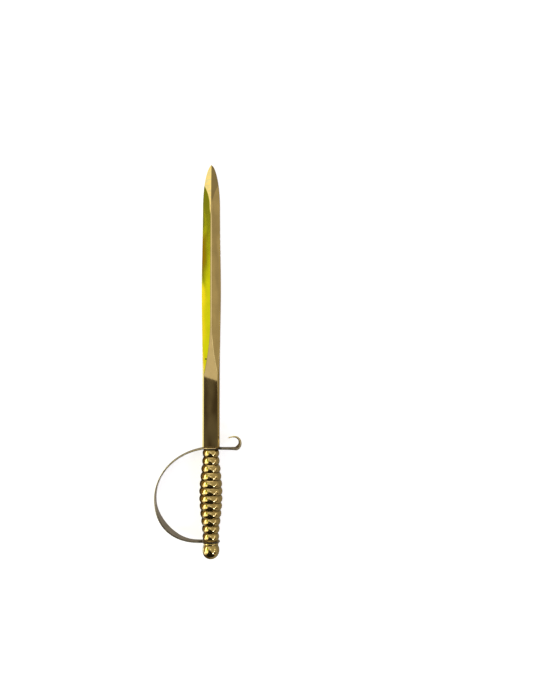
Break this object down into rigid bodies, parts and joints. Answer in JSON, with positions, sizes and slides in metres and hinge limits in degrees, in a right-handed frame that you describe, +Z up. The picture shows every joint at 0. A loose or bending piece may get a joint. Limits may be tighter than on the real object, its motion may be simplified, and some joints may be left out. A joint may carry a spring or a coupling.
{
  "type": "letter opener",
  "caption": "Brass letter opener shaped like a small sabre: ridged leaf blade, bent strip knuckle guard with a curled quillon, turned ribbed grip and round pommel.",
  "frame": {"origin": "on the desk, under the middle of the opener's outline as it lies", "axes": "+Z up from the desk, +Y towards the blade's point, +X to the side away from the knuckle bow"},
  "size_m": [0.0444, 0.1976, 0.0118],
  "materials": {
    "blade_brass": "polished, with hairline scratches",
    "turned_brass": "turned and polished, dark in the grooves",
    "strip_brass": "dull, brushed lengthwise"
  },
  "bodies": {
    "root": {"blade": "blade_brass", "guard": "strip_brass", "grip": "turned_brass", "pommel": "turned_brass"}
  },
  "joints": []
}
